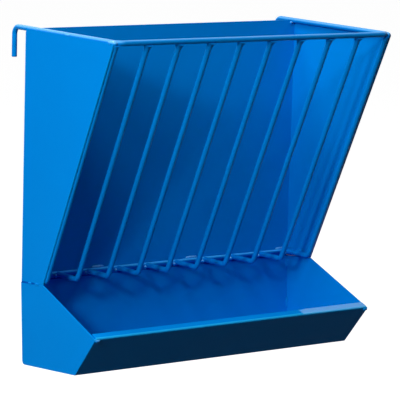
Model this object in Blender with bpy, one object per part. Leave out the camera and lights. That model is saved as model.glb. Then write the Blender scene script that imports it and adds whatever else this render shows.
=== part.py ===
"""Welded hay rack with a feed trough, hung on a rail by two hooks.

The origin is where the top of the rail meets the rack's rear face, half way between the hooks.
X runs along the rail, Y points backwards through the rail, Z is up. All sizes are in metres.
"""
from math import atan2, cos, radians, sin, sqrt, tan

import bmesh
import bpy
from mathutils import Vector

# shell, one sheet bent to a U: back panel and two side panels
shell_width = 0.500
shell_height = 0.383
shell_depth = 0.245
neck_depth = 0.064
neck_rise = 0.006
sheet = 0.002
sheet_fold = 0.0025
panel_corner = 0.003

# trough under the neck, measured from the seam at the rear face
trough_height = 0.1265
trough_set_in = 0.0075
trough_floor = 0.152
trough_floor_rise = 0.015
trough_front_out = 0.0547
trough_front_up = 0.064
trough_foot_fold = 0.0065
plate_corner = 0.0005
lip_width = 0.015

# top frame, one round rod with a hook at each end
frame_rod = 0.008
frame_bend = 0.012
frame_rise = 0.0015
frame_under_edge = 0.0005
front_rod_set_back = 0.001
hook_throat = 0.0375
hook_drop = 0.046
hook_bend = 0.012

# grille bars and the cross rod that their feet end on
bar_rod = 0.008
bar_bend = 0.012
bar_set_back = 0.0017
bar_turn_depth = 0.064
bar_turn_height = 0.009
foot_end_height = 0.0076
inner_bars = 8
cross_rod_size = 0.006
cross_rod_height = 0.0082
cross_rod_end_gap = 0.002

# weld beads, each as half sizes
collar_length = 0.007
collar_cover = 0.0012
collar_wall = 0.0007
collar_spread = 0.0014
edge_collar_reach = 0.004
spot_radius = 0.0028
stitch_half = (0.012, 0.004, 0.0035)
tack_half = (0.002, 0.006, 0.0026)
corner_tack_half = (0.0036, 0.006, 0.0032)
notch_tack_radius = 0.0026
edge_foot_bead_half = (0.003, 0.007, 0.003)
seam_bead_half = (0.0012, 0.005, 0.0019)
rear_bead_half = (0.012, 0.0012, 0.0024)
trough_bead_half = (0.0028, 0.0028, 0.010)
lip_bead_half = (0.0045, 0.0032, 0.0013)

# places along the piece that carries them
stitch_shares = (-0.231, 0.118, 0.468)
seam_bead_shares = (0.42, 0.74)
rear_bead_shares = (-0.32, 0.32)
trough_bead_shares = (0.10, 0.62)
mid_tack_share = 0.48
edge_foot_bead_share = 0.5

# clearance between pieces that touch, and how far a cutter runs past what it cuts
gap = 0.0003
overrun = 0.010

# facets
arc_step = radians(15)
rod_rings = 4
corner_facets = 4
collar_facets = 12
bead_facets = 10
bead_rings = 6
smooth_under = radians(50)

frame_radius = frame_rod / 2
bar_radius = bar_rod / 2
cross_radius = cross_rod_size / 2
half_width = shell_width / 2

frame_axis = frame_radius
panel_top = frame_axis + frame_under_edge
seam = panel_top - shell_height
side_rod_x = half_width - sheet - gap - frame_radius
hook_y = hook_throat + frame_radius
front_rod_y = -(shell_depth - front_rod_set_back)
front_rod_z = frame_axis + frame_rise
edge_bar_x = half_width - sheet - gap - bar_radius
panel_face = -(sheet + gap)
side_face = half_width - sheet - gap


def coat(name, colour, roughness):
    """Glossy powder coat in one colour."""
    material = bpy.data.materials.new(name)
    material.use_nodes = True
    shader = material.node_tree.nodes["Principled BSDF"]
    shader.inputs["Base Color"].default_value = (*colour, 1.0)
    shader.inputs["Roughness"].default_value = roughness
    shader.inputs["Metallic"].default_value = 0.0
    return material


def add(name, data, material, place=(0, 0, 0)):
    """Put a mesh or curve into the scene under a name."""
    piece = bpy.data.objects.new(name, data)
    if not data.materials:
        data.materials.append(material)
    piece.location = place
    bpy.context.scene.collection.objects.link(piece)
    return piece


def hide_cutter(piece):
    piece.hide_render = True
    piece.display_type = "WIRE"
    return piece


def cut(piece, cutter):
    """Subtract a cutter from a piece."""
    step = piece.modifiers.new("cut", "BOOLEAN")
    step.operation = "DIFFERENCE"
    step.solver = "EXACT"
    step.object = cutter


def round_corners(points, corner_radii):
    """A path through points, each inner corner rounded to its radius."""
    path = [Vector(points[0])]
    for before, corner, after, radius in zip(points, points[1:], points[2:], corner_radii):
        corner = Vector(corner)
        back = (Vector(before) - corner).normalized()
        ahead = (Vector(after) - corner).normalized()
        half = back.angle(ahead) / 2
        reach = radius / tan(half)
        centre = corner + (back + ahead).normalized() * (radius / sin(half))
        start = corner + back * reach - centre
        end = corner + ahead * reach - centre
        turn = start.angle(end)
        steps = max(2, round(turn / arc_step))
        for step in range(steps + 1):
            part = step / steps
            bow = start * sin((1 - part) * turn) + end * sin(part * turn)
            path.append(centre + bow / sin(turn))
    path.append(Vector(points[-1]))
    return path


def crossing(point, direction, other, other_direction):
    """Where two lines of a plane meet."""
    turned = Vector((-other_direction.y, other_direction.x))
    return point + direction * ((other - point).dot(turned) / direction.dot(turned))


def left_of(direction):
    return Vector((-direction.y, direction.x)).normalized()


def offset_corners(points, distance):
    """The corners of an open outline moved to its left by a distance."""
    points = [Vector(point) for point in points]
    runs = [after - before for before, after in zip(points, points[1:])]
    moved = [points[0] + left_of(runs[0]) * distance]
    for corner, run, next_run in zip(points[1:], runs, runs[1:]):
        here = corner + left_of(run) * distance
        there = corner + left_of(next_run) * distance
        moved.append(crossing(here, run, there, next_run))
    moved.append(points[-1] + left_of(runs[-1]) * distance)
    return moved


def sheet_outline(corners, fold_radii):
    """Closed section of a folded sheet whose outer face runs through the corners."""
    outer = round_corners([Vector(corner) for corner in corners], fold_radii)
    inner_radii = [radius - sheet for radius in fold_radii]
    inner = round_corners(offset_corners(corners, sheet), inner_radii)
    return outer + inner[::-1]


def extrude_outline(name, outline, to_space, run):
    """A solid whose outline is placed by to_space and drawn out along run."""
    mesh = bpy.data.meshes.new(name)
    body = bmesh.new()
    face = body.faces.new([body.verts.new(to_space(point)) for point in outline])
    drawn = bmesh.ops.extrude_face_region(body, geom=[face])["geom"]
    moved = [item for item in drawn if isinstance(item, bmesh.types.BMVert)]
    bmesh.ops.translate(body, verts=moved, vec=run)
    bmesh.ops.recalc_face_normals(body, faces=body.faces)
    body.to_mesh(mesh)
    body.free()
    return mesh


def trim(body, point, outward):
    """Cut a body by a plane, drop what lies outward of it and close the cut."""
    parts = body.verts[:] + body.edges[:] + body.faces[:]
    bmesh.ops.bisect_plane(body, geom=parts, plane_co=point, plane_no=outward, clear_outer=True)
    rim = [edge for edge in body.edges if edge.is_boundary]
    bmesh.ops.holes_fill(body, edges=rim, sides=0)
    bmesh.ops.recalc_face_normals(body, faces=body.faces)


def rod_curve(name, path, radius):
    """A round rod along a path, closed at both ends."""
    curve = bpy.data.curves.new(name, "CURVE")
    curve.dimensions = "3D"
    curve.fill_mode = "FULL"
    curve.bevel_depth = radius
    curve.bevel_resolution = rod_rings
    curve.use_fill_caps = True
    line = curve.splines.new("POLY")
    line.points.add(len(path) - 1)
    for spot, place in zip(line.points, path):
        spot.co = (*place, 1.0)
    line.use_smooth = True
    return curve


def rod_cutter(name, path, radius, place=(0, 0, 0)):
    """The space that a rod and its clearance take up."""
    source = bpy.data.objects.new(name, rod_curve(name, path, radius + gap))
    bpy.context.scene.collection.objects.link(source)
    mesh = bpy.data.meshes.new_from_object(source.evaluated_get(bpy.context.evaluated_depsgraph_get()))
    bpy.data.objects.remove(source)
    return hide_cutter(add(name, mesh, rod_finish, place))


def box_cutter(name, low, high):
    """A box between two corners, used to cut."""
    outline = [(low[0], low[1]), (high[0], low[1]), (high[0], high[1]), (low[0], high[1])]
    mesh = extrude_outline(name, outline, lambda p: (p[0], p[1], low[2]), (0, 0, high[2] - low[2]))
    return hide_cutter(add(name, mesh, sheet_finish))


def bead(name, centre, half_sizes, flats=(), cutters=(), up_along=Vector((0, 1))):
    """A weld bead: an oval lump, flat where it sits on sheet and hollowed where it sits on rod.

    Its height lies along a direction of the side view.
    """
    centre = Vector(centre)
    tip = atan2(up_along.x, up_along.y)
    mesh = bpy.data.meshes.new(name)
    body = bmesh.new()
    bmesh.ops.create_uvsphere(body, u_segments=bead_facets, v_segments=bead_rings, radius=1)
    bmesh.ops.scale(body, verts=body.verts, vec=half_sizes)
    for vert in body.verts:
        forward, up = vert.co.y, vert.co.z
        vert.co.y = forward * cos(tip) - up * sin(tip)
        vert.co.z = forward * sin(tip) + up * cos(tip)
    for point, inward in flats:
        trim(body, Vector(point) - centre, -Vector(inward))
    body.to_mesh(mesh)
    body.free()
    mesh.shade_smooth()
    mesh.set_sharp_from_angle(angle=smooth_under)
    piece = add(name, mesh, weld_finish, centre)
    for cutter in cutters:
        cut(piece, cutter)
    return piece


# the side view, as distances forward of the rear face and heights
seam_rear = Vector((0, seam))
seam_front = Vector((neck_depth, seam + neck_rise))
foot_corner = Vector((trough_set_in, seam - trough_height))
floor_front = foot_corner + Vector((trough_floor, trough_floor_rise))
mouth_front = floor_front + Vector((trough_front_out, trough_front_up))
seam_drop = Vector((0, gap))


def side_to_space(x):
    return lambda point: (x, -point[0], point[1])


def make_shell():
    """Back panel and side panels, bent from one sheet, with notches that the top rod passes through."""
    low = seam - overrun
    corners = [(half_width, -shell_depth - overrun), (half_width, 0)]
    corners += [(-half_width, 0), (-half_width, -shell_depth - overrun)]
    outline = sheet_outline(corners, [sheet_fold, sheet_fold])
    mesh = extrude_outline("shell", outline, lambda p: (p[0], p[1], low), (0, 0, panel_top - low))
    body = bmesh.new()
    body.from_mesh(mesh)
    front_low = Vector((0, -seam_front.x, seam_front.y))
    front_top = Vector((0, -shell_depth, panel_top))
    slope = front_top - front_low
    trim(body, front_low, Vector((0, -slope.z, slope.y)))
    seam_run = front_low - Vector((0, 0, seam))
    trim(body, front_low, Vector((0, -seam_run.z, seam_run.y)))
    tips = []
    for edge in body.edges:
        first, second = edge.verts
        middle = (first.co + second.co) / 2
        across = abs(first.co.x - second.co.x) > gap
        if across and abs(middle.y - front_top.y) < gap and abs(middle.z - front_top.z) < gap:
            tips.append(edge)
    half_tip = Vector((0, 1, 0)).angle(-slope) / 2
    reach = panel_corner / tan(half_tip)
    bmesh.ops.bevel(body, geom=tips, offset=reach, segments=corner_facets, profile=0.5, affect="EDGES")
    body.to_mesh(mesh)
    body.free()
    shell = add("shell", mesh, sheet_finish)
    notch_side = side_rod_x - frame_radius - gap
    notch_floor = frame_axis - frame_radius - gap
    for side, name in ((-1, "notch_left"), (1, "notch_right")):
        x_ends = sorted((side * notch_side, side * (half_width + overrun)))
        low_corner = (x_ends[0], -sheet_fold, notch_floor)
        high_corner = (x_ends[1], overrun, panel_top + overrun)
        cut(shell, box_cutter(name, low_corner, high_corner))


def make_trough():
    """The folded pan with its turned-in lip, and the two flat end plates."""
    seam_low = seam_rear - seam_drop
    neck_low = seam_front - seam_drop
    mouth_run = (seam_front - mouth_front).normalized()
    lip_top = mouth_front - left_of(mouth_run) * sheet
    front_run = mouth_front - floor_front
    lip_fold = crossing(floor_front, front_run, lip_top, mouth_run)
    lip_end = lip_fold + mouth_run * lip_width
    corners = [seam_low, foot_corner, floor_front, lip_fold, lip_end]
    outline = sheet_outline(corners, [trough_foot_fold, sheet_fold, sheet_fold])
    pan = extrude_outline("trough_pan", outline, side_to_space(-side_face), (2 * side_face, 0, 0))
    add("trough_pan", pan, trough_finish)

    plate_corners = [neck_low, seam_low, foot_corner, floor_front, mouth_front, neck_low]
    plate_radii = [plate_corner, trough_foot_fold, sheet_fold, plate_corner]
    plate_outline = round_corners(plate_corners, plate_radii)
    plate = extrude_outline("trough_end", plate_outline[:-1], side_to_space(0), (sheet, 0, 0))
    add("trough_end_left", plate, trough_finish, (-half_width, 0, 0))
    add("trough_end_right", plate, trough_finish, (half_width - sheet, 0, 0))


def make_top_frame():
    """One rod: hook, left side, front, right side, hook."""
    quarter = [
        (side_rod_x, hook_y, frame_axis - hook_drop),
        (side_rod_x, hook_y, frame_axis),
        (side_rod_x, front_rod_y, front_rod_z),
    ]
    mirrored = [(-x, y, z) for x, y, z in quarter]
    path = round_corners(mirrored + quarter[::-1], [hook_bend, frame_bend, frame_bend, hook_bend])
    add("top_frame", rod_curve("top_frame", path, frame_radius), rod_finish)
    return rod_cutter("frame_space", path, frame_radius)


bar_turn = Vector((0, -bar_turn_depth, seam + bar_turn_height))
bar_aim = Vector((0, front_rod_y + bar_set_back, front_rod_z))
bar_run = (bar_aim - bar_turn).normalized()
bar_lean = bar_run.angle(Vector((0, 0, 1)))
cross_y = panel_face - cross_radius
cross_z = seam + cross_rod_height
foot_end = Vector((0, cross_y - cross_radius - gap, seam + foot_end_height))
foot_run = (foot_end - bar_turn).normalized()


def bar_top(under_bend):
    """Centre of a bar's upper end, clear of the top rod or of the whole bend of its corner."""
    clear = frame_radius + gap
    if under_bend:
        drop = (clear + bar_radius * sin(bar_lean)) / cos(bar_lean)
    else:
        near = min(max(bar_set_back * cos(bar_lean) - bar_radius, 0), clear)
        drop = sqrt(clear * clear - near * near)
    return bar_aim - bar_run * drop


def bar_path(top, extra=0.0):
    ends = [top + bar_run * extra, bar_turn, foot_end + foot_run * extra]
    return round_corners(ends, [bar_bend])


def make_bars():
    """Eight inner bars, two edge bars, and the cutters that keep welds clear of them."""
    inner_curve = rod_curve("grille_bar", bar_path(bar_top(False)), bar_radius)
    edge_curve = rod_curve("edge_bar", bar_path(bar_top(True)), bar_radius)
    pitch = 2 * edge_bar_x / (inner_bars + 1)
    bars = []
    for number in range(inner_bars + 2):
        x = -edge_bar_x + number * pitch
        at_edge = number in (0, inner_bars + 1)
        if at_edge:
            name = "edge_bar_left" if number == 0 else "edge_bar_right"
        else:
            name = f"grille_bar_{number}"
        add(name, edge_curve if at_edge else inner_curve, bar_finish, (x, 0, 0))
        path = bar_path(bar_top(at_edge), gap)
        space = rod_cutter(name + "_space", path, bar_radius, (x, 0, 0))
        bars.append((name, x, at_edge, space))
    return bars


def make_cross_rod():
    reach = half_width - sheet - cross_rod_end_gap
    path = [Vector((-reach, 0, 0)), Vector((reach, 0, 0))]
    place = (0, cross_y, cross_z)
    add("cross_rod", rod_curve("cross_rod", path, cross_radius), rod_finish, place)
    return rod_cutter("cross_rod_space", path, cross_radius, place)


def make_collar(name, x, at_edge, bar_space, frame_space):
    """Weld round the top of a bar, spreading out where it meets the top rod."""
    top = bar_top(at_edge)
    above = edge_collar_reach if at_edge else collar_cover
    length = collar_length + above
    low_radius = bar_radius + gap + collar_wall
    mesh = bpy.data.meshes.new(name)
    body = bmesh.new()
    bmesh.ops.create_cone(
        body,
        cap_ends=True,
        segments=collar_facets,
        radius1=low_radius,
        radius2=low_radius + collar_spread,
        depth=length,
    )
    tilt = Vector((0, 0, 1)).rotation_difference(bar_run)
    for vert in body.verts:
        vert.co = tilt @ vert.co + bar_run * (above - length / 2)
    if at_edge:
        side = 1 if x > 0 else -1
        trim(body, Vector((side * side_face - x, 0, 0)), Vector((side, 0, 0)))
        trim(body, Vector((0, 0, panel_top - top.z)), Vector((0, 0, 1)))
    body.to_mesh(mesh)
    body.free()
    mesh.shade_smooth()
    mesh.set_sharp_from_angle(angle=smooth_under)
    collar = add(name, mesh, weld_finish, (x, top.y, top.z))
    cut(collar, bar_space)
    cut(collar, frame_space)


def make_bar_welds(bars, frame_space, cross_space):
    """A collar at the top of each bar and a spot where its foot meets the cross rod."""
    for name, x, at_edge, space in bars:
        make_collar("weld_top_" + name, x, at_edge, space, frame_space)
        side = 1 if name == "edge_bar_left" else -1
        centre = (x + side * bar_radius, foot_end.y, cross_z - cross_radius)
        size = (spot_radius, spot_radius, spot_radius)
        bead("weld_foot_" + name, centre, size, cutters=[space, cross_space])


def make_rod_welds(bars, frame_space, cross_space):
    """Stitches on the cross rod, and tacks that hold the rods to the shell."""
    panel = ((0, panel_face, 0), (0, -1, 0))
    for number, share in enumerate(stitch_shares, 1):
        centre = (share * shell_width, panel_face, cross_z + cross_radius)
        bead(f"weld_cross_rod_{number}", centre, stitch_half, [panel], [cross_space])
    for side, end in ((-1, "left"), (1, "right")):
        edge_top = ((0, 0, panel_top + gap), (0, 0, 1))
        x = side * (half_width - tack_half[0])
        centre = (x, -mid_tack_share * shell_depth, panel_top + gap)
        bead("weld_side_rod_" + end, centre, tack_half, [edge_top], [frame_space])
        x = side * (half_width - corner_tack_half[0])
        centre = (x, front_rod_y + frame_bend, panel_top + gap)
        bead("weld_corner_" + end, centre, corner_tack_half, [edge_top], [frame_space])
        x = side * (side_rod_x - frame_radius)
        size = (notch_tack_radius, notch_tack_radius, notch_tack_radius)
        centre = (x, panel_face, frame_axis - frame_radius)
        bead("weld_notch_" + end, centre, size, [panel], [frame_space])
    for name, x, at_edge, space in bars:
        if at_edge:
            side = 1 if x > 0 else -1
            wall = ((side * side_face, 0, 0), (-side, 0, 0))
            on_foot = foot_end.lerp(bar_turn, edge_foot_bead_share)
            centre = (side * side_face, on_foot.y, on_foot.z + bar_radius)
            bead("weld_side_" + name, centre, edge_foot_bead_half, [wall], [space])


def make_sheet_welds():
    """Beads on the seam between shell and trough, and between the pan and its end plates."""
    rear_face = ((0, gap, 0), (0, 1, 0))
    for side, end in ((-1, "left"), (1, "right")):
        face = ((side * (half_width + gap), 0, 0), (side, 0, 0))
        for number, share in enumerate(seam_bead_shares, 1):
            spot = seam_rear.lerp(seam_front, share)
            centre = (side * (half_width + gap), -spot.x, spot.y)
            bead(f"weld_seam_{end}_{number}", centre, seam_bead_half, [face])
    for number, share in enumerate(rear_bead_shares, 1):
        centre = (share * shell_width, gap, seam - gap - rear_bead_half[2])
        bead(f"weld_seam_rear_{number}", centre, rear_bead_half, [rear_face])

    wall_run = foot_corner - seam_rear
    into_trough = left_of(wall_run)
    front_run = mouth_front - floor_front
    out_of_front = -left_of(front_run)
    for side, end in ((-1, "left"), (1, "right")):
        plate = ((side * side_face, 0, 0), (-side, 0, 0))
        for number, share in enumerate(trough_bead_shares, 1):
            spot = seam_rear.lerp(foot_corner, share) + into_trough * (sheet + gap)
            wall = ((0, -spot.x, spot.y), (0, -into_trough.x, into_trough.y))
            centre = (side * side_face, -spot.x, spot.y)
            name = f"weld_trough_{end}_{number}"
            bead(name, centre, trough_bead_half, [plate, wall], up_along=-wall_run)
        spot = mouth_front - front_run.normalized() * sheet_fold + out_of_front * gap
        front = ((0, -spot.x, spot.y), (0, -out_of_front.x, out_of_front.y))
        centre = (side * (half_width - lip_bead_half[0]), -spot.x, spot.y)
        bead("weld_lip_" + end, centre, lip_bead_half, [front], up_along=out_of_front)


for leftover in list(bpy.data.objects):
    bpy.data.objects.remove(leftover)

sheet_finish = coat("shell_coat", (0.0, 0.19, 0.62), 0.3)
trough_finish = coat("trough_coat", (0.0, 0.19, 0.62), 0.3)
rod_finish = coat("rod_coat", (0.005, 0.2, 0.64), 0.28)
bar_finish = coat("bar_coat", (0.005, 0.2, 0.64), 0.28)
weld_finish = coat("weld_coat", (0.01, 0.21, 0.65), 0.34)

make_shell()
make_trough()
frame_space = make_top_frame()
bars = make_bars()
cross_space = make_cross_rod()
make_bar_welds(bars, frame_space, cross_space)
make_rod_welds(bars, frame_space, cross_space)
make_sheet_welds()
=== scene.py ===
"""Looks of a powder-coated hay rack: a bent sheet shell, a bar grille and a feed trough under it.

The frame is in metres: X runs along the rail that the rack hangs on, Y points back through the
rail, Z is up, and the origin is where the top of the rail meets the rack's rear face.
"""

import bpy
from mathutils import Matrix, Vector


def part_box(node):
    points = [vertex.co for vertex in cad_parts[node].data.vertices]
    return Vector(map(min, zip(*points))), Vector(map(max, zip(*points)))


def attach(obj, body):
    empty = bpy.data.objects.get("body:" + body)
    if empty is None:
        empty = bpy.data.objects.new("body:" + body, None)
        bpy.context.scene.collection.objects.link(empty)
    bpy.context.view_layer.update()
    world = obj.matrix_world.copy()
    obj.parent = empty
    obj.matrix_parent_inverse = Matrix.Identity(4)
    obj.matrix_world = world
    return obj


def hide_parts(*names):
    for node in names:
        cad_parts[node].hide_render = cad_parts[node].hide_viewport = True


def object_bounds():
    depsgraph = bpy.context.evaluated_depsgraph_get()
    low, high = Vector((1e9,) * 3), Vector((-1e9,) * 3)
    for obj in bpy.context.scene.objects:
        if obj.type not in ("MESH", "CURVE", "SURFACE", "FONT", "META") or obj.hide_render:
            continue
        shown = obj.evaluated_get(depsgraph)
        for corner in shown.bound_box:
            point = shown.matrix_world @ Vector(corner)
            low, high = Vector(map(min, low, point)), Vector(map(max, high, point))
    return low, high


bl_info = {
    "name": "Hay Rack",
    "version": (1, 0, 0),
    "blender": (4, 5, 0),
    "location": "3D View > Sidebar > Hay Rack",
    "description": "Builds and finishes a welded hay rack over its CAD frame",
    "category": "Object",
}

from math import cos, pi, radians, sin, sqrt, tan

import bmesh
import bpy
from mathutils import Matrix, Vector, noise

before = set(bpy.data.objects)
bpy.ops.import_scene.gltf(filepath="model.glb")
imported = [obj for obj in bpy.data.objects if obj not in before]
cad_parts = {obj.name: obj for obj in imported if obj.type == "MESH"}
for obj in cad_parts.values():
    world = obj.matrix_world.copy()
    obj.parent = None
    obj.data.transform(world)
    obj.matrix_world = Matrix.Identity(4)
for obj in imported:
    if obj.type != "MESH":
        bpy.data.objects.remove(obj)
cad_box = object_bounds()
shell_low, shell_high = (Vector(corner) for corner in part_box("shell"))
rod_low, rod_high = (Vector(corner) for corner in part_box("top_frame"))
cross_low, cross_high = (Vector(corner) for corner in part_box("cross_rod"))

BAR_NAMES = ["edge_bar_left"] + [f"grille_bar_{number}" for number in range(1, 9)] + ["edge_bar_right"]
ENDS = ("left", "right")

# where painted light and shade lie on the lip, the seam and the top rod

# X at which the end of the lip with a clear gloss and a painted reflection begins, the lean of its border,
# and half the border's width
LIP_SHINE = 0.062
LIP_SHINE_LEAN = 0.3
LIP_SHINE_BORDER = 0.0015
# distances of the lip's rear edge and of its fold from the rear face, each with a soft border
LIP_BACK = 0.195
LIP_BACK_BORDER = 0.001
LIP_FOLD = -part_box("trough_pan")[0][1] - 0.0022
LIP_FOLD_BORDER = 0.0006
# the seam between shell and trough is open, and painted in shade, behind this distance from the rear face
SEAM_OPEN = 0.043
SEAM_OPEN_BORDER = 0.006
# distances above and below the seam where its painted shade is still full and where it ends
SEAM_SHADE = (0.0009, 0.0017)
# rise of the seam towards the front, by its length
NECK_SLOPE = 0.006 / 0.064
# distances from the middle between which the front rod's thin painted sheen gives way to the side rods'
# broad one
SIDE_SHEEN = (0.230, 0.241)

# heights of a face's normal at which a share that grows with it starts and is full

GLOSS_FACING = (-0.1, 0.5)
BROAD_SHEEN_FACING = (0.05, 0.45)
THIN_SHEEN_FACING = (0.55, 0.92)
WELD_SHEEN_FACING = (0.0, 0.6)
CROSS_SHEEN_FACING = (0.15, 0.7)
LIP_FACING = (0.2, 0.5)
FOLD_FACING = (-0.3, 0.2)
CUT_EDGE_FACING = (-0.40, -0.25)

# noises of the coat: repeats per metre, detail and roughness

DIMPLES = (850.0, 2.0, 0.45)
WAVES = (26.0, 2.0, 0.4)
DRIFT = (7.5, 3.0, 0.55)
GRAIN = (2300.0, 1.0, 0.5)
LUMPS = (420.0, 3.0, 0.6)

# how the coat follows its noises

NOISE_MIDDLE = 0.5
DRIFT_SHADE = 0.8
GRAIN_SHADE = 0.2
DRIFT_ROUGHNESS = 0.10
GRAIN_ROUGHNESS = 0.08
WAVE_DEPTH = 0.0007
LUMP_DEPTH = 0.00025

# strength of the plain reflection of each coat, its tint, and the clear gloss over some of them

REFLECTION = {
    "shell coat": 0.006,
    "trough coat": 0.006,
    "rod coat": 0.03,
    "bar coat": 0.05,
    "cross rod coat": 0.01,
    "weld coat": 0.04,
    "dull weld coat": 0.02,
}
REFLECTION_TINT = (0.1, 0.5, 1.0)
ROD_GLOSS = 0.1
WELD_GLOSS = 0.3
CLEAR_ROUGHNESS = 0.12
CLEAR_IOR = 1.5
# the coat of the welds in the light is this much lighter, which is painted light
LIT_WELD_LIGHTER = 1.05
WELD_ROUGHER = 0.05

# meshes: steps of bends and ends, and the angles from which an edge is a crease, rounded, or flat

BEND_STEP = radians(5)
FEWEST_BEND_STEPS = 3
END_STEPS = 4
CROSS_ROD_STEPS = 40
ROD_SIDES = 32
ROD_CREASE = radians(50)
BEAD_CREASE = radians(75)
NO_CREASE = radians(180)
ROUNDED_FROM = radians(32)
FLAT_UNDER = radians(1)
ROUNDING_STEPS = 3
FLAT_FACE_WEIGHT = 100
# points are merged that lie closer than one part in this many of a sheet's edge rounding
MERGE_PARTS = 40
# points this near the shell's lower edge, or above it, are raised to close the seam
SEAM_REACH = 0.001

# collars at the tops of the bars

COLLAR_SIDES = 36
COLLAR_STEPS = 14
COLLAR_FLARE = 2.2
COLLAR_THICKNESS = 0.00015
COLLAR_UNEVEN = ((260, 0.0005), (700, 0.0002))
COLLAR_SIDE_ROOM = 0.0006
EDGE_COLLAR_SIDE_ROOM = 0.0024
COLLAR_FRONT_ROOM = 0.0004

# weld beads: a ball stretched over the node's box, filled to a share of it and uneven

BEAD_ROUND = (36, 24)
BEAD_FILL = 0.93
BEAD_UNEVEN = ((330, 0.10), (900, 0.05))
# rings towards a bead's tips that are thinner than this keep the ball's shape
BEAD_TIP = 0.05
# turns that lay the ball's poles along X, Y or Z
BALL_ALONG = (Matrix.Rotation(pi / 2, 3, "Y"), Matrix.Rotation(pi / 2, 3, "X"), Matrix.Identity(3))
# depth of the ripples as a share of the girth, and the distance from one ripple to the next
STITCH_RIPPLES = 0.22
LONG_RIPPLES = 0.18
TACK_RIPPLES = 0.15
SEAM_RIPPLES = 0.1
FINE_PITCH = 0.0022
STITCH_PITCH = 0.0065
REAR_PITCH = 0.0030
# balls of weld metal that fill the rod's front corners: radius, roundness, places on the right
FILL_RADIUS = 0.0042
FILL_ROUND = 2
FILL_PLACES = ((0.2455, -0.2410, 0.0045), (0.2450, -0.2385, 0.0048), (0.2466, -0.2350, 0.0045))
# repeats per metre and depth of their unevenness, which the shift makes different on each ball
FILL_GRAIN = 900
FILL_UNEVEN = 0.2
FILL_SHIFT = 90

# lamps: azimuth and elevation in degrees, then distance, width and height in metres

LAMPS = {
    "key": (-58, 26, 3.2, 0.8, 1.4),
    "hard": (-58, 22, 3.2, 0.3, 0.3),
    "high": (-58, 53, 3.0, 0.9, 1.1),
    "side": (-78, 22, 3.2, 0.9, 0.9),
    "low": (-97, -12, 1.2, 0.5, 0.5),
    "top": (0, 70, 3.0, 1.0, 1.0),
    "rear": (-147, 58, 2.8, 1.1, 1.1),
    "back": (182, 30, 3.0, 2.4, 0.6),
    "right": (64, 52, 3.0, 0.8, 0.8),
}
LAMP_AIM = Vector((0, -0.11, -0.25))

# surroundings: as the camera and reflections see them, and as bounced light does

WHITE = (1.0, 1.0, 1.0)
SURROUNDINGS_GLOW = 1.0
SURROUNDINGS_DIM = (0.85, 0.93, 1.0)
SURROUNDINGS_DIM_GLOW = 0.01
FLOOR_REACH = 14.0
FLOOR_CELLS = 24
FLOOR_PALE = (0.30, 0.30, 0.30)
FLOOR_GLOW = 0.98
FLOOR_DIM = (0.05, 0.05, 0.05)

# camera: what it is aimed at, its shift to the right and up, its sensor and how far it sees

CAMERA_AIM = Vector((0, -0.125, shell_high.z - 0.26969))
CAMERA_SHIFT = (-0.0096071, 0.0129252)
CAMERA_SENSOR = 36.0
CAMERA_REACH = 60.0


class RackSizes(bpy.types.PropertyGroup):
    """Sizes of the rods and edges that are rounder here than in the CAD frame."""
    rod: bpy.props.FloatProperty(
        name="Top rod", description="Diameter of the rod with the hooks",
        default=0.008, unit="LENGTH", precision=4)
    rod_bend: bpy.props.FloatProperty(
        name="Corner bend", description="Bend radius of the top rod at its front corners",
        default=0.012, unit="LENGTH", precision=4)
    hook_bend: bpy.props.FloatProperty(
        name="Hook bend", description="Bend radius of the top rod at the hooks",
        default=0.012, unit="LENGTH", precision=4)
    front_rise: bpy.props.FloatVectorProperty(
        name="Front rise",
        description="How much higher the rod's left and right front corners lie than the hooks",
        default=(0.0015, 0.0), size=2, unit="LENGTH", precision=4)
    bar: bpy.props.FloatProperty(
        name="Bars", description="Diameter of the grille bars",
        default=0.008, unit="LENGTH", precision=4)
    bar_bend: bpy.props.FloatProperty(
        name="Bar bend", description="Bend radius at the foot of a bar",
        default=0.012, unit="LENGTH", precision=4)
    bar_set_back: bpy.props.FloatProperty(
        name="Bar set-back", description="How far behind the front rod's axis the bars are aimed",
        default=0.0017, unit="LENGTH", precision=4)
    bar_turn: bpy.props.FloatVectorProperty(
        name="Bar turn", description="Where a bar turns back: before the rear face, above the seam",
        default=(0.064, 0.009), size=2, unit="LENGTH", precision=4)
    bar_foot: bpy.props.FloatVectorProperty(
        name="Bar foot", description="Where a bar ends: before the rear face, above the seam",
        default=(0.0080, 0.0076), size=2, unit="LENGTH", precision=4)
    sheet_edge: bpy.props.FloatProperty(
        name="Sheet edge", description="Rounding that the coat gives to a cut sheet edge",
        default=0.0007, unit="LENGTH", precision=4)
    shell_edge: bpy.props.FloatProperty(
        name="Shell edge", description="The same rounding on the shell, whose edges were ground",
        default=0.00095, unit="LENGTH", precision=5)
    seam_closing: bpy.props.FloatProperty(
        name="Seam closing", description="How far the trough is drawn out to close its welded seams",
        default=0.0004, unit="LENGTH", precision=4)
    rod_edge: bpy.props.FloatProperty(
        name="Rod edge", description="Rounding of a rod's cut end",
        default=0.0008, unit="LENGTH", precision=4)
    collar: bpy.props.FloatVectorProperty(
        name="Weld collar", description="Reach down the bar, reach into the rod, and width added at the rod",
        default=(0.0095, 0.0022, 0.0040), size=3, unit="LENGTH", precision=4)
    edge_collar: bpy.props.FloatVectorProperty(
        name="Edge bar collar", description="The same three sizes for the collars in the rod's corner bends",
        default=(0.0085, 0.0040, 0.0010), size=3, unit="LENGTH", precision=4)


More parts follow.
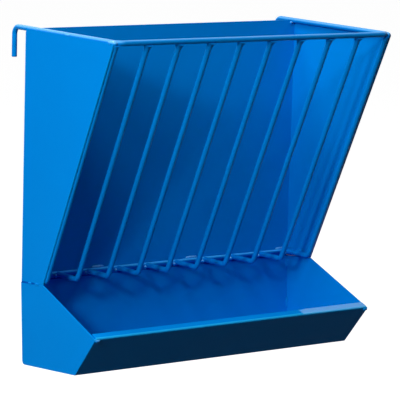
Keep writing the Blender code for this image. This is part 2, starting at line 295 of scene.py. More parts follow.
class RackCoatAndPaintedLight(bpy.types.PropertyGroup):
    """Powder coat, and the light and shade that are painted into its colour."""
    coat: bpy.props.FloatVectorProperty(
        name="Coat", description="Colour of the powder coat",
        default=(0.0, 0.226, 0.695), size=3, subtype="COLOR", min=0.0, max=1.0)
    coat_thin: bpy.props.FloatVectorProperty(
        name="Thin coat", description="Colour where the coat is thinner",
        default=(0.0, 0.205, 0.65), size=3, subtype="COLOR", min=0.0, max=1.0)
    # painted reflection: the paler colour on the right end of the lip stands in for a lamp's reflection
    painted_lip_reflection: bpy.props.FloatVectorProperty(
        name="Pale coat", description="Colour of the coat on the shiny right end of the lip",
        default=(0.012, 0.30, 0.78), size=3, subtype="COLOR", min=0.0, max=1.0)
    # painted highlight: the paler upper side of the top rod stands in for reflected light
    painted_rod_sheen: bpy.props.FloatVectorProperty(
        name="Rod sheen", description="Colour of the sheen on the upper side of the top rod",
        default=(0.08, 0.35, 0.74), size=3, subtype="COLOR", min=0.0, max=1.0)
    # painted highlight: the bright crests of weld beads are a paler colour on their upper side
    painted_weld_sheen: bpy.props.FloatVectorProperty(
        name="Weld sheen", description="Colour of the bright crests of weld beads",
        default=(0.10, 0.42, 0.85), size=3, subtype="COLOR", min=0.0, max=1.0)
    # painted light: the shell's down-facing cut edges, which the lamps leave dark, get this lighter colour
    painted_edge_light: bpy.props.FloatVectorProperty(
        name="Cut edge", description="Colour of the coat on the slanted cut edges of the side panels",
        default=(0.0, 0.45, 0.98), size=3, subtype="COLOR", min=0.0, max=1.0)
    # painted shade: a darker colour in the open part of the seam, where shade falls
    painted_seam_shade: bpy.props.FloatVectorProperty(
        name="Seam shade", description="Colour of the coat in the open part of the seam",
        default=(0.0, 0.075, 0.43), size=3, subtype="COLOR", min=0.0, max=1.0)
    # painted highlight: a paler colour on the upper side of the cross rod
    painted_cross_sheen: bpy.props.FloatVectorProperty(
        name="Cross rod sheen", description="Colour of the upper side of the cross rod",
        default=(0.04, 0.44, 0.95), size=3, subtype="COLOR", min=0.0, max=1.0)
    # painted highlight: a line of light along the lip's fold
    painted_fold_sheen: bpy.props.FloatVectorProperty(
        name="Fold sheen", description="Colour of the line of light along the fold of the lip",
        default=(0.010, 0.36, 0.785), size=3, subtype="COLOR", min=0.0, max=1.0)
    gloss: bpy.props.FloatProperty(
        name="Roughness", description="Roughness of the coat on flat sheet",
        default=0.30, min=0.0, max=1.0)
    peel: bpy.props.FloatProperty(
        name="Peel depth", description="Depth of the fine dimples of the powder coat",
        default=0.00004, unit="LENGTH", precision=5)


class Studio(bpy.types.PropertyGroup):
    """Lamps, floor and camera."""
    key_level: bpy.props.FloatProperty(
        name="Key", description="Brightness that the tall key lamp gives to a white face square to it",
        default=0.35, min=0.0)
    hard_level: bpy.props.FloatProperty(
        name="Hard", description="Brightness of the small lamp that draws the bars' shadows",
        default=0.22, min=0.0)
    high_level: bpy.props.FloatProperty(
        name="High", description="Brightness of the lamp above the key lamp",
        default=0.33, min=0.0)
    side_level: bpy.props.FloatProperty(
        name="Side", description="Brightness of the lamp to the left",
        default=0.17, min=0.0)
    low_level: bpy.props.FloatProperty(
        name="Low", description="Brightness of the small low lamp beside the left panel",
        default=0.08, min=0.0)
    top_level: bpy.props.FloatProperty(
        name="Top", description="Brightness of the lamp above the front",
        default=0.08, min=0.0)
    rear_level: bpy.props.FloatProperty(
        name="Rear", description="Brightness of the lamp behind and to the left",
        default=0.42, min=0.0)
    back_level: bpy.props.FloatProperty(
        name="Back", description="Brightness of the wide lamp straight behind",
        default=0.11, min=0.0)
    right_level: bpy.props.FloatProperty(
        name="Right", description="Brightness of the lamp high on the right",
        default=0.09, min=0.0)
    floor_drop: bpy.props.FloatProperty(
        name="Floor", description="How far the floor lies below the hanging rack",
        default=0.30, unit="LENGTH")
    turn: bpy.props.FloatVectorProperty(
        name="View angles", description="Camera azimuth, elevation and roll",
        default=(radians(-34.718), radians(9.386), radians(-1.662)), size=3, subtype="EULER")
    distance: bpy.props.FloatProperty(
        name="Distance", description="From the camera to the rack",
        default=3.614418, unit="LENGTH")
    lens: bpy.props.FloatProperty(
        name="Lens", description="Focal length on a 36 mm sensor",
        default=214.182, unit="CAMERA")


GROUPS = {"hay_rack_sizes": RackSizes, "hay_rack_finish": RackCoatAndPaintedLight, "hay_rack_studio": Studio}


# shader nodes written as expressions

class Value:
    """A node socket that takes part in sums and products."""

    def __init__(self, tree, socket):
        self.tree = tree
        self.socket = socket

    def join(self, operation, first, second):
        return self.tree.node("ShaderNodeMath", {"operation": operation}, {0: first, 1: second})

    def __add__(self, other):
        return self.join("ADD", self, other)

    def __sub__(self, other):
        return self.join("SUBTRACT", self, other)

    def __rsub__(self, other):
        return self.join("SUBTRACT", other, self)

    def __mul__(self, other):
        return self.join("MULTIPLY", self, other)

    __radd__ = __add__
    __rmul__ = __mul__


class Tree:
    """The node tree of a material or of the world."""

    def __init__(self, owner):
        owner.use_nodes = True
        self.tree = owner.node_tree
        self.tree.nodes.clear()

    def put(self, socket, value):
        """Link a socket to a value, or set it to a number or a colour."""
        if isinstance(value, Value):
            self.tree.links.new(value.socket, socket)
        elif hasattr(value, "__len__") and len(value) == 3 and socket.type == "RGBA":
            socket.default_value = (*value, 1.0)
        else:
            socket.default_value = value

    def node(self, kind, settings=None, sockets=None, output=0):
        """Add a node of a type, with its settings first and then the values or links of its sockets."""
        made = self.tree.nodes.new(kind)
        for name, value in (settings or {}).items():
            setattr(made, name, value)
        for name, value in (sockets or {}).items():
            self.put(made.inputs[name], value)
        return Value(self, made.outputs[output]) if made.outputs else made

    def noise(self, place, scale, detail, roughness):
        """Noise over a surface, from nought to one."""
        sockets = {"Vector": place, "Scale": scale, "Detail": detail, "Roughness": roughness}
        return self.node("ShaderNodeTexNoise", {"noise_dimensions": "3D"}, sockets)

    def ramp(self, value, low, high):
        """Nought below low, one above high, and a smooth run between them."""
        sockets = {"Value": value, "From Min": low, "From Max": high}
        return self.node("ShaderNodeMapRange", {"interpolation_type": "SMOOTHSTEP"}, sockets)

    def part(self, vector, axis):
        """One of the parts X, Y and Z of a vector."""
        return self.node("ShaderNodeSeparateXYZ", None, {0: vector}, axis)

    def blend(self, factor, first, second):
        """Colour between two colours, which the Mix node takes as its inputs 6 and 7."""
        return self.node("ShaderNodeMix", {"data_type": "RGBA"}, {0: factor, 6: first, 7: second}, 2)

    def bump(self, height, distance, under=None):
        """Normal over a height, on top of another bump's normal if there is one."""
        sockets = {"Height": height, "Distance": distance, "Strength": 1.0}
        if under:
            sockets["Normal"] = under
        return self.node("ShaderNodeBump", None, sockets)


# shares of a clear gloss, or of painted light or shade, over the surface, each from nought to one

def looking_up(tree, facing):
    """Grows as a face turns to look up, between two heights of its normal."""
    normal = tree.node("ShaderNodeTexCoord", output="Normal")
    return tree.ramp(tree.part(normal, "Z"), *facing)


def upper_gloss(tree, place):
    """Clear gloss on the upper side of rods."""
    return looking_up(tree, GLOSS_FACING) * ROD_GLOSS


def weld_gloss(tree, place):
    """Clear gloss on the upper side of welds."""
    return looking_up(tree, GLOSS_FACING) * WELD_GLOSS


def painted_rod_sheen(tree, place):
    """Painted broad sheen on the side rods and the hooks, and a thin painted one along the front rod."""
    across = tree.part(place, "X")
    near, far = SIDE_SHEEN
    at_side = tree.ramp(across * across, near ** 2, far ** 2)
    broad = looking_up(tree, BROAD_SHEEN_FACING)
    thin = looking_up(tree, THIN_SHEEN_FACING)
    return at_side * broad + (1 - at_side) * thin


def painted_weld_sheen(tree, place):
    """Painted sheen on the upper side of welds."""
    return looking_up(tree, WELD_SHEEN_FACING)


def painted_cross_rod_sheen(tree, place):
    """Painted sheen on the upper side of the cross rod."""
    return looking_up(tree, CROSS_SHEEN_FACING)


def painted_cut_edge_light(tree, place):
    """One on the slanted cut edges of the side panels, which look down, and where light is painted."""
    return 1 - looking_up(tree, CUT_EDGE_FACING)


def on_lip(tree, place):
    """One on the upper side of the trough's lip."""
    front = 0 - tree.part(place, "Y")
    return tree.ramp(front, LIP_BACK - LIP_BACK_BORDER, LIP_BACK) * looking_up(tree, LIP_FACING)


def lip_gloss_and_painted_reflection(tree, place):
    """One on the right end of the lip, which has a slanted border, where a clear gloss and a painted
    reflection lie.
    """
    slanted = tree.part(place, "X") + tree.part(place, "Y") * LIP_SHINE_LEAN
    at_end = tree.ramp(slanted, LIP_SHINE - LIP_SHINE_BORDER, LIP_SHINE + LIP_SHINE_BORDER)
    return at_end * on_lip(tree, place)


def lip_fold(tree, place):
    """One in a line along the fold between the lip and the trough's front, where a line of light is painted.
    """
    front = 0 - tree.part(place, "Y")
    return tree.ramp(front, LIP_FOLD - LIP_FOLD_BORDER, LIP_FOLD) * looking_up(tree, FOLD_FACING)


def open_seam(tree, place):
    """One in the open rear part of the seam between shell and trough, where shade is painted."""
    back = tree.part(place, "Y")
    above = tree.part(place, "Z") - shell_low.z + back * NECK_SLOPE
    full, none = SEAM_SHADE
    near = 1 - tree.ramp(above * above, full ** 2, none ** 2)
    return near * tree.ramp(back, -SEAM_OPEN, SEAM_OPEN_BORDER - SEAM_OPEN)


# powder coats

# the tones that a coat lays over its colour are all painted light or shade
def powder_coat(name, coat_and_painted_light, shade=1.0, rougher=0.0, lumps=0.0, shine=None, tones=()):
    """Powder coat: fine dimples, a broad unevenness, and a shade that drifts a little.

    Rougher is added to the roughness, and lumps is the depth of the lumps of a weld. Shine is a
    function that gives the share of clear gloss over the surface. Each tone is such a function
    and the colour that it lays over the coat.
    """
    made = bpy.data.materials.new(name)
    tree = Tree(made)
    place = tree.node("ShaderNodeTexCoord", output="Object")
    drift = tree.noise(place, *DRIFT)
    grain = tree.noise(place, *GRAIN)
    thick = tuple(channel * shade for channel in coat_and_painted_light.coat)
    thin = tuple(channel * shade for channel in coat_and_painted_light.coat_thin)
    colour = tree.blend(drift * DRIFT_SHADE + grain * GRAIN_SHADE, thick, thin)
    for share, tone in tones:
        colour = tree.blend(share(tree, place), colour, tone)
    rough = coat_and_painted_light.gloss + rougher + (drift - NOISE_MIDDLE) * DRIFT_ROUGHNESS
    normal = tree.bump(tree.noise(place, *WAVES), WAVE_DEPTH)
    if lumps:
        normal = tree.bump(tree.noise(place, *LUMPS), lumps, normal)
    sockets = {
        "Base Color": colour,
        "Roughness": rough + (grain - NOISE_MIDDLE) * GRAIN_ROUGHNESS,
        "Metallic": 0.0,
        "Specular IOR Level": REFLECTION[name],
        "Specular Tint": REFLECTION_TINT,
        "Normal": tree.bump(tree.noise(place, *DIMPLES), coat_and_painted_light.peel, normal),
    }
    if shine:
        sockets["Coat Weight"] = shine(tree, place)
        sockets["Coat Roughness"] = CLEAR_ROUGHNESS
        sockets["Coat IOR"] = CLEAR_IOR
    shader = tree.node("ShaderNodeBsdfPrincipled", None, sockets)
    tree.node("ShaderNodeOutputMaterial", None, {"Surface": shader})
    return made


def shell_coat(coat_and_painted_light):
    # the shell's tones are painted light on its down-facing cut edges and painted shade in the open seam
    tones = ((painted_cut_edge_light, coat_and_painted_light.painted_edge_light), (open_seam, coat_and_painted_light.painted_seam_shade))
    return powder_coat("shell coat", coat_and_painted_light, tones=tones)


def trough_coat(coat_and_painted_light):
    # the trough's tones are a painted reflection on the lip's end, a painted line of light along its fold,
    # and painted shade in the open seam; the lip's end also has a clear gloss
    tones = ((lip_gloss_and_painted_reflection, coat_and_painted_light.painted_lip_reflection), (lip_fold, coat_and_painted_light.painted_fold_sheen), (open_seam, coat_and_painted_light.painted_seam_shade))
    return powder_coat("trough coat", coat_and_painted_light, shine=lip_gloss_and_painted_reflection, tones=tones)


def rod_coat(coat_and_painted_light):
    # the rod's tone is a painted sheen on its upper side
    return powder_coat("rod coat", coat_and_painted_light, shine=upper_gloss, tones=((painted_rod_sheen, coat_and_painted_light.painted_rod_sheen),))


def bar_coat(coat_and_painted_light):
    return powder_coat("bar coat", coat_and_painted_light)


def cross_rod_coat(coat_and_painted_light):
    # the cross rod's tone is a painted sheen on its upper side
    return powder_coat("cross rod coat", coat_and_painted_light, tones=((painted_cross_rod_sheen, coat_and_painted_light.painted_cross_sheen),))


def lit_weld_coat(coat_and_painted_light):
    """Coat of the welds that stand in the light, with a painted sheen and a painted lighter colour, made
    once.
    """
    made = bpy.data.materials.get("weld coat")
    # the tone is a painted sheen on the upper side of the welds
    tones = ((painted_weld_sheen, coat_and_painted_light.painted_weld_sheen),)
    return made or powder_coat(
        "weld coat", coat_and_painted_light, LIT_WELD_LIGHTER, WELD_ROUGHER, LUMP_DEPTH, weld_gloss, tones)


def shaded_dull_weld_coat(coat_and_painted_light):
    """Coat of the welds that lie in shade, without that painted light and with less gloss, made once."""
    made = bpy.data.materials.get("dull weld coat")
    return made or powder_coat("dull weld coat", coat_and_painted_light, rougher=WELD_ROUGHER, lumps=LUMP_DEPTH)


# mesh helpers

def clamp(value, low, high):
    return min(max(value, low), high)


def unevenness(spot, noises):
    """Sum of noises at a spot, each given by its repeats per metre and its height."""
    return sum(noise.noise(spot * scale) * height for scale, height in noises)


def rounded_path(points, corner_radii):
    """Points of a path whose inner corners are rounded."""
    path = [Vector(points[0])]
    for before, corner, after, radius in zip(points, points[1:], points[2:], corner_radii):
        corner = Vector(corner)
        back = (Vector(before) - corner).normalized()
        ahead = (Vector(after) - corner).normalized()
        half = back.angle(ahead) / 2
        centre = corner + (back + ahead).normalized() * (radius / sin(half))
        start = corner + back * (radius / tan(half)) - centre
        end = corner + ahead * (radius / tan(half)) - centre
        turn = start.angle(end)
        steps = max(FEWEST_BEND_STEPS, round(turn / BEND_STEP))
        for number in range(steps + 1):
            part = number / steps
            path.append(centre + (start * sin((1 - part) * turn) + end * sin(part * turn)) / sin(turn))
    path.append(Vector(points[-1]))
    return path


def with_round_ends(path, radius, edge):
    """A path and its radii, with the two cut ends rounded by the coat."""
    spots, radii = [], []
    first = (path[1] - path[0]).normalized()
    last = (path[-2] - path[-1]).normalized()
    for number in range(END_STEPS + 1):
        angle = number / END_STEPS * pi / 2
        spots.append(path[0] + first * edge * (1 - sin(angle)))
        radii.append(radius - edge * (1 - cos(angle)))
    spots.reverse()
    radii.reverse()
    tail = [path[-1] + last * (spot - path[0]).length for spot in spots]
    return spots + path[1:-1] + tail[::-1], radii + [radius] * (len(path) - 2) + radii[::-1]


def tube(path, radii, sides):
    """Closed round tube along a path with a radius for each point."""
    body = bmesh.new()
    runs = [(after - before).normalized() for before, after in zip(path, path[1:])]
    ahead = [runs[0]] + [(one + two).normalized() for one, two in zip(runs, runs[1:])] + [runs[-1]]
    angles = [2 * pi * number / sides for number in range(sides)]
    side = ahead[0].orthogonal().normalized()
    rings = []
    for spot, run, radius in zip(path, ahead, radii):
        side = (side - run * side.dot(run)).normalized()
        across = run.cross(side)
        rings.append([body.verts.new(spot + (side * cos(a) + across * sin(a)) * radius) for a in angles])
    for ring, following in zip(rings, rings[1:]):
        for number in range(sides):
            after = (number + 1) % sides
            body.faces.new((ring[number], ring[after], following[after], following[number]))
    body.faces.new(rings[0][::-1])
    body.faces.new(rings[-1])
    return body


def finish_piece(name, body, coat, nodes, crease):
    """Make an object of a mesh body, put it on the frame and let it stand for its CAD nodes."""
    mesh = bpy.data.meshes.new(name)
    body.to_mesh(mesh)
    body.free()
    mesh.shade_smooth()
    mesh.set_sharp_from_angle(angle=crease)
    mesh.materials.append(coat)
    made = bpy.data.objects.new(name, mesh)
    bpy.context.scene.collection.objects.link(made)
    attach(made, "root")
    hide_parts(*nodes)
    return made


def rod_piece(node, path, radius, edge, coat):
    """A round rod with its cut ends rounded."""
    body = tube(*with_round_ends(path, radius, edge), ROD_SIDES)
    finish_piece("rack_" + node, body, coat, [node], ROD_CREASE)


def sheet_piece(node, edge, coat, closing=0.0):
    """A sheet part on its CAD outline, with the coat's rounding on its cut edges.

    Closing is how far the ends, and what ends at the shell's seam, are drawn out over the
    clearance that the CAD keeps there.
    """
    body = bmesh.new()
    body.from_mesh(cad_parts[node].data)
    for vert in body.verts:
        if vert.co.z > shell_low.z - SEAM_REACH:
            vert.co.z += closing
        vert.co.x += closing if vert.co.x > 0 else -closing
    bmesh.ops.remove_doubles(body, verts=body.verts, dist=edge / MERGE_PARTS)
    bmesh.ops.dissolve_limit(body, angle_limit=FLAT_UNDER, verts=body.verts, edges=body.edges)
    made = finish_piece("rack_" + node, body, coat, [node], NO_CREASE)
    bevel = made.modifiers.new("coat rounding", "BEVEL")
    bevel.width = edge
    bevel.segments = ROUNDING_STEPS
    bevel.limit_method = "ANGLE"
    bevel.angle_limit = ROUNDED_FROM
    bevel.use_clamp_overlap = True
    weigh = made.modifiers.new("flat faces stay flat", "WEIGHTED_NORMAL")
    weigh.keep_sharp = False
    weigh.weight = FLAT_FACE_WEIGHT


def rippled(spot, length, ripples, reach, pitch):
    """A point of a ball, moved to the girth of a blunt bead with rings along one axis.

    Reach is half the bead's length, and pitch the distance between two rings.
    """
    way = spot[length]
    full = sqrt(max(0.0, 1 - way * way))
    blunt = sqrt(max(0.0, 1 - way ** 4))
    girth = blunt / full if full > BEAD_TIP else 1.0
    ring = 0.5 + 0.5 * cos(2 * pi * way * reach / pitch)
    for axis in range(3):
        if axis != length:
            spot[axis] *= girth * (1 - ripples * ring)
    return spot


def bead(node, coat, seats="", along="x", ripples=0, pitch=FINE_PITCH, fills=()):
    """A weld bead in its CAD node's box, flat on its seats and rippled along its length.

    A seat is an axis and a side, such as y+ for a bead that sits on a face behind it. Fills are
    the places of balls of weld metal beside the bead.
    """
    low, high = (Vector(corner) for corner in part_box(node))
    centre = (low + high) / 2
    half = (high - low) / 2
    for letter, sign in zip(seats[::2], seats[1::2]):
        axis = "xyz".index(letter)
        centre[axis] = high[axis] if sign == "+" else low[axis]
        half[axis] = high[axis] - low[axis]
    length = "xyz".index(along)
    around, steps = BEAD_ROUND
    body = bmesh.new()
    bmesh.ops.create_uvsphere(body, u_segments=around, v_segments=steps, radius=1.0)
    for vert in body.verts:
        spot = BALL_ALONG[length] @ vert.co
        if ripples:
            spot = rippled(spot, length, ripples, half[length], pitch)
        place = centre + spot * half
        place = centre + (place - centre) * (BEAD_FILL + unevenness(place, BEAD_UNEVEN))
        vert.co = Vector(clamp(place[axis], low[axis], high[axis]) for axis in range(3))
    for place in fills:
        ball = bmesh.ops.create_icosphere(body, subdivisions=FILL_ROUND, radius=FILL_RADIUS)
        for vert in ball["verts"]:
            swell = noise.noise(vert.co * FILL_GRAIN + place * FILL_SHIFT) * FILL_UNEVEN
            vert.co = place + vert.co * (1 + swell)
    finish_piece("rack_" + node, body, coat, [node], BEAD_CREASE)


# the lines that the bars follow

def bar_ends(sizes):
    """Upper aim, turn and foot of a bar in the middle of the rack."""
    rod_radius = sizes.rod / 2
    seam = shell_low.z
    aim = Vector((0, rod_low.y + rod_radius + sizes.bar_set_back, rod_high.z - rod_radius))
    turn = Vector((0, -sizes.bar_turn[0], seam + sizes.bar_turn[1]))
    foot = Vector((0, -sizes.bar_foot[0], seam + sizes.bar_foot[1]))
    return aim, turn, foot


def bar_run(sizes):
    """Direction of the slanted part of the bars, upwards."""
    aim, turn = bar_ends(sizes)[:2]
    return (aim - turn).normalized()


def bar_place(name):
    """How far right of the middle a bar stands."""
    low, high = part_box(name)
    return (low[0] + high[0]) / 2


def bar_top(name, sizes):
    """Middle of the end of a bar, a little inside the rod that it is welded to."""
    aim, turn = bar_ends(sizes)[:2]
    node_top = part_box(name)[1][2]
    lean = bar_run(sizes).angle(Vector((0, 0, 1)))
    left, right = sizes.front_rise
    way = (bar_place(name) - rod_low.x) / (rod_high.x - rod_low.x)
    top = node_top - sizes.bar / 2 * sin(lean) - (left - right) * way
    return turn + (aim - turn) * ((top - turn.z) / (aim.z - turn.z)) + Vector((bar_place(name), 0, 0))


def collar(name, sizes, coat):
    """Collar of weld metal round the top of a bar, wider towards the rod."""
    top = bar_top(name, sizes)
    run = bar_run(sizes)
    at_edge = name.startswith("edge")
    down, into, spread = sizes.edge_collar if at_edge else sizes.collar
    path, radii = [], []
    for number in range(COLLAR_STEPS + 1):
        share = number / COLLAR_STEPS
        path.append(top + run * (into * share - down * (1 - share)))
        radii.append(sizes.bar / 2 + COLLAR_THICKNESS + spread * share ** COLLAR_FLARE)
    body = tube(path, radii, COLLAR_SIDES)
    side = shell_high.x - (EDGE_COLLAR_SIDE_ROOM if at_edge else COLLAR_SIDE_ROOM)
    for vert in body.verts:
        away = (vert.co - top) - run * (vert.co - top).dot(run)
        vert.co += away.normalized() * unevenness(vert.co, COLLAR_UNEVEN)
        vert.co.x = clamp(vert.co.x, -side, side)
        vert.co.y = max(vert.co.y, rod_low.y + COLLAR_FRONT_ROOM)
    node = "weld_top_" + name
    finish_piece("rack_" + node, body, coat, [node], ROD_CREASE)


class RACK_OT_shell(bpy.types.Operator):
    """Back panel and side panels, bent from one sheet"""
    bl_idname = "hay_rack.shell"
    bl_label = "Shell"
    bl_options = {"REGISTER", "UNDO"}

    def execute(self, context):
        edge = context.scene.hay_rack_sizes.shell_edge
        sheet_piece("shell", edge, shell_coat(context.scene.hay_rack_finish))
        return {"FINISHED"}


class RACK_OT_trough(bpy.types.Operator):
    """Folded trough pan and its two end plates"""
    bl_idname = "hay_rack.trough"
    bl_label = "Trough"
    bl_options = {"REGISTER", "UNDO"}

    def execute(self, context):
        sizes = context.scene.hay_rack_sizes
        coat = trough_coat(context.scene.hay_rack_finish)
        sheet_piece("trough_pan", sizes.sheet_edge, coat, sizes.seam_closing)
        for end in ENDS:
            sheet_piece("trough_end_" + end, sizes.sheet_edge, coat)
        return {"FINISHED"}


class RACK_OT_top_frame(bpy.types.Operator):
    """Top rod with a hook at each end"""
    bl_idname = "hay_rack.top_frame"
    bl_label = "Top rod"
    bl_options = {"REGISTER", "UNDO"}

    def execute(self, context):
        sizes = context.scene.hay_rack_sizes
        radius = sizes.rod / 2
        side, hook = rod_high.x - radius, rod_high.y - radius
        front = rod_low.y + radius
        axis = rod_high.z - radius - max(sizes.front_rise)
        left, right = ([(x, hook, rod_low.z), (x, hook, axis), (x, front, axis + rise)]
                       for x, rise in zip((-side, side), sizes.front_rise))
        bends = [sizes.hook_bend, sizes.rod_bend, sizes.rod_bend, sizes.hook_bend]
        path = rounded_path(left + right[::-1], bends)
        coat = rod_coat(context.scene.hay_rack_finish)
        rod_piece("top_frame", path, radius, sizes.rod_edge, coat)
        return {"FINISHED"}


class RACK_OT_bars(bpy.types.Operator):
    """Bars of the grille, each with a foot bent back to the cross rod"""
    bl_idname = "hay_rack.bars"
    bl_label = "Grille bars"
    bl_options = {"REGISTER", "UNDO"}

    def execute(self, context):
        sizes = context.scene.hay_rack_sizes
        coat = bar_coat(context.scene.hay_rack_finish)
        turn, foot = bar_ends(sizes)[1:]
        for name in BAR_NAMES:
            shift = Vector((bar_place(name), 0, 0))
            path = rounded_path([bar_top(name, sizes), turn + shift, foot + shift], [sizes.bar_bend])
            rod_piece(name, path, sizes.bar / 2, sizes.rod_edge, coat)
        return {"FINISHED"}


class RACK_OT_cross_rod(bpy.types.Operator):
    """Rod along the back panel that the bars' feet end on"""
    bl_idname = "hay_rack.cross_rod"
    bl_label = "Cross rod"
    bl_options = {"REGISTER", "UNDO"}

    def execute(self, context):
        middle = (cross_low + cross_high) / 2
        radius = (cross_high.z - cross_low.z) / 2
        left, right = (Vector((x, middle.y, middle.z)) for x in (cross_low.x, cross_high.x))
        path = [left.lerp(right, number / CROSS_ROD_STEPS) for number in range(CROSS_ROD_STEPS + 1)]
        coat = cross_rod_coat(context.scene.hay_rack_finish)
        rod_piece("cross_rod", path, radius, context.scene.hay_rack_sizes.rod_edge, coat)
        return {"FINISHED"}


class RACK_OT_bar_welds(bpy.types.Operator):
    """Weld collars at the top of the bars and spots at their feet"""
    bl_idname = "hay_rack.bar_welds"
    bl_label = "Bar welds"
    bl_options = {"REGISTER", "UNDO"}

    def execute(self, context):
        coat_and_painted_light = context.scene.hay_rack_finish
        # the feet's welds stand in the light and take the coat with painted light; the collars lie in shade
        # and take the dull one
        coat, dull = lit_weld_coat(coat_and_painted_light), shaded_dull_weld_coat(coat_and_painted_light)
        for name in BAR_NAMES:
            collar(name, context.scene.hay_rack_sizes, dull)
            bead("weld_foot_" + name, coat)
        return {"FINISHED"}


class RACK_OT_rod_welds(bpy.types.Operator):
    """Stitches on the cross rod and tacks between the rods and the shell"""
    bl_idname = "hay_rack.rod_welds"
    bl_label = "Rod welds"
    bl_options = {"REGISTER", "UNDO"}

    def execute(self, context):
        coat_and_painted_light = context.scene.hay_rack_finish
        rises = context.scene.hay_rack_sizes.front_rise
        # the welds in the light take the coat with painted light; the edge bar beads, in shade, take the
        # dull one
        coat, dull = lit_weld_coat(coat_and_painted_light), shaded_dull_weld_coat(coat_and_painted_light)
        for number in (1, 2, 3):
            bead(f"weld_cross_rod_{number}", coat, "y+", "x", STITCH_RIPPLES, STITCH_PITCH)
        for end, side, outer, rise in zip(ENDS, (-1, 1), ("x-", "x+"), rises):
            drop = rises[0] - rise
            fills = [Vector((side * x, y, z - drop)) for x, y, z in FILL_PLACES]
            bead("weld_side_rod_" + end, coat, "z-", "y", TACK_RIPPLES)
            bead("weld_corner_" + end, coat, "z-", "y", TACK_RIPPLES, fills=fills)
            bead("weld_notch_" + end, coat, "y+", "x")
            bead("weld_side_edge_bar_" + end, dull, outer, "y", LONG_RIPPLES)
        return {"FINISHED"}


class RACK_OT_sheet_welds(bpy.types.Operator):
    """Beads between the shell, the trough pan and its end plates"""
    bl_idname = "hay_rack.sheet_welds"
    bl_label = "Sheet welds"
    bl_options = {"REGISTER", "UNDO"}

    def execute(self, context):
        coat_and_painted_light = context.scene.hay_rack_finish
        # the left lip weld stands in the light and takes the coat with painted light; the seam and trough
        # welds and the right lip weld take the dull one
        coat, dull = lit_weld_coat(coat_and_painted_light), shaded_dull_weld_coat(coat_and_painted_light)
        for end, inner, outer, lip in zip(ENDS, ("x+", "x-"), ("x-", "x+"), (coat, dull)):
            for number in (1, 2):
                bead(f"weld_seam_{end}_{number}", dull, inner, "y", SEAM_RIPPLES)
                bead(f"weld_trough_{end}_{number}", dull, outer + "y+", "z", TACK_RIPPLES)
            bead("weld_lip_" + end, lip, "", "x", SEAM_RIPPLES)
        for number in (1, 2):
            bead(f"weld_seam_rear_{number}", dull, "y-", "x", LONG_RIPPLES, REAR_PITCH)
        return {"FINISHED"}


# studio

def axes_of(turn):
    """Right, up and back directions of a camera or lamp with an azimuth, an elevation and a roll."""
    azimuth, elevation, roll = turn
    back = Vector((sin(azimuth) * cos(elevation), -cos(azimuth) * cos(elevation), sin(elevation)))
    level = Vector((0, 0, 1)).cross(back).normalized()
    upright = back.cross(level)
    right = level * cos(roll) - upright * sin(roll)
    return right, level * sin(roll) + upright * cos(roll), back


def stand(name, data, spot, axes):
    """Put a camera or lamp at a spot, with its right, up and back directions."""
    made = bpy.data.objects.new(name, data)
    made.matrix_world = Matrix.Translation(spot) @ Matrix(axes).transposed().to_4x4()
    bpy.context.scene.collection.objects.link(made)
    return made


def lamp(name, azimuth, elevation, distance, width, height, level):
    """Soft lamp that gives a white face square to it a brightness of level."""
    data = bpy.data.lights.new(name, "AREA")
    data.shape = "ELLIPSE"
    data.size = width
    data.size_y = height
    data.energy = pi * pi * distance * distance * level
    axes = axes_of((radians(azimuth), radians(elevation), 0.0))
    stand(name, data, LAMP_AIM + axes[2] * distance, axes)


def seen_or_bounced(tree, seen_shader, bounced_shader):
    """One shader where the camera or a reflection sees a surface, the other for bounced light."""
    seen = tree.node("ShaderNodeLightPath", output="Is Camera Ray")
    for output in ("Is Glossy Ray", "Is Transmission Ray"):
        ray = tree.node("ShaderNodeLightPath", output=output)
        seen = tree.node("ShaderNodeMath", {"operation": "MAXIMUM"}, {0: seen, 1: ray})
    return tree.node("ShaderNodeMixShader", None, {0: seen, 1: bounced_shader, 2: seen_shader})


def pale_floor():
    """Floor material: white to the camera, with the rack's shadow, and dim to bounced light."""
    made = bpy.data.materials.new("pale floor")
    tree = Tree(made)
    pale = tree.node("ShaderNodeBsdfDiffuse", None, {"Color": FLOOR_PALE})
    glow = tree.node("ShaderNodeEmission", None, {"Color": WHITE, "Strength": FLOOR_GLOW})
    lit = tree.node("ShaderNodeAddShader", None, {0: pale, 1: glow})
    dim = tree.node("ShaderNodeBsdfDiffuse", None, {"Color": FLOOR_DIM})
    tree.node("ShaderNodeOutputMaterial", None, {"Surface": seen_or_bounced(tree, lit, dim)})
    return made


def white_surroundings():
    """World: white to the camera and to reflections, and dim to bounced light."""
    world = bpy.data.worlds.new("white surroundings")
    tree = Tree(world)
    white = tree.node("ShaderNodeBackground", None, {"Color": WHITE, "Strength": SURROUNDINGS_GLOW})
    dim_sockets = {"Color": SURROUNDINGS_DIM, "Strength": SURROUNDINGS_DIM_GLOW}
    dim = tree.node("ShaderNodeBackground", None, dim_sockets)
    tree.node("ShaderNodeOutputWorld", None, {"Surface": seen_or_bounced(tree, white, dim)})
    return world


def photo_view(studio):
    """Camera that sees the rack as the photograph does."""
    axes = axes_of(studio.turn)
    right, upright, back = axes
    data = bpy.data.cameras.new("photo view")
    data.lens = studio.lens
    data.sensor_width = CAMERA_SENSOR
    data.clip_end = CAMERA_REACH
    across, up = CAMERA_SHIFT
    spot = CAMERA_AIM + right * across + upright * up + back * studio.distance
    return stand("photo view", data, spot, axes)


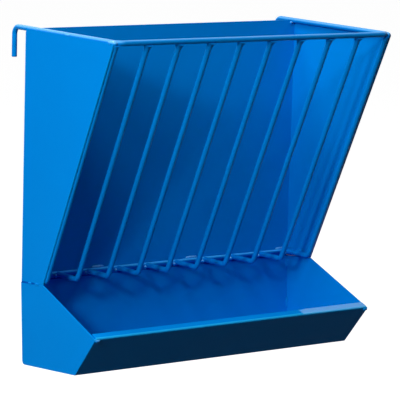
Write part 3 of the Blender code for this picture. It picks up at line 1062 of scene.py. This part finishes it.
class RACK_OT_studio(bpy.types.Operator):
    """Floor, lamps, surroundings and camera"""
    bl_idname = "hay_rack.studio"
    bl_label = "Studio"
    bl_options = {"REGISTER", "UNDO"}

    def execute(self, context):
        scene = context.scene
        studio = scene.hay_rack_studio
        for name, spread in LAMPS.items():
            lamp(name, *spread, getattr(studio, name + "_level"))

        body = bmesh.new()
        bmesh.ops.create_grid(body, x_segments=FLOOR_CELLS, y_segments=FLOOR_CELLS, size=FLOOR_REACH)
        mesh = bpy.data.meshes.new("floor")
        body.to_mesh(mesh)
        body.free()
        mesh.materials.append(pale_floor())
        floor = bpy.data.objects.new("floor", mesh)
        floor.location.z = cad_box[0][2] - studio.floor_drop
        scene.collection.objects.link(floor)

        scene.world = white_surroundings()
        scene.camera = photo_view(studio)
        scene.view_settings.view_transform = "Standard"
        return {"FINISHED"}


OPERATORS = (
    RACK_OT_shell,
    RACK_OT_trough,
    RACK_OT_top_frame,
    RACK_OT_bars,
    RACK_OT_cross_rod,
    RACK_OT_bar_welds,
    RACK_OT_rod_welds,
    RACK_OT_sheet_welds,
    RACK_OT_studio,
)


class RACK_PT_panel(bpy.types.Panel):
    """Lists the operators in building order, with their settings under them"""
    bl_idname = "RACK_PT_panel"
    bl_label = "Hay Rack"
    bl_space_type = "VIEW_3D"
    bl_region_type = "UI"
    bl_category = "Hay Rack"

    def draw(self, context):
        for kind in OPERATORS:
            self.layout.operator(kind.bl_idname)
        for group in GROUPS:
            box = self.layout.box()
            settings = getattr(context.scene, group)
            for name in settings.bl_rna.properties.keys():
                if name not in ("rna_type", "name"):
                    box.prop(settings, name)


def register():
    for kind in (*GROUPS.values(), *OPERATORS, RACK_PT_panel):
        bpy.utils.register_class(kind)
    for name, kind in GROUPS.items():
        setattr(bpy.types.Scene, name, bpy.props.PointerProperty(type=kind))


def unregister():
    for name in GROUPS:
        delattr(bpy.types.Scene, name)
    for kind in (RACK_PT_panel, *OPERATORS[::-1], *GROUPS.values()):
        bpy.utils.unregister_class(kind)


def main():
    register()
    for kind in OPERATORS:
        section, action = kind.bl_idname.split(".")
        getattr(getattr(bpy.ops, section), action)()


if __name__ == "__main__":
    main()
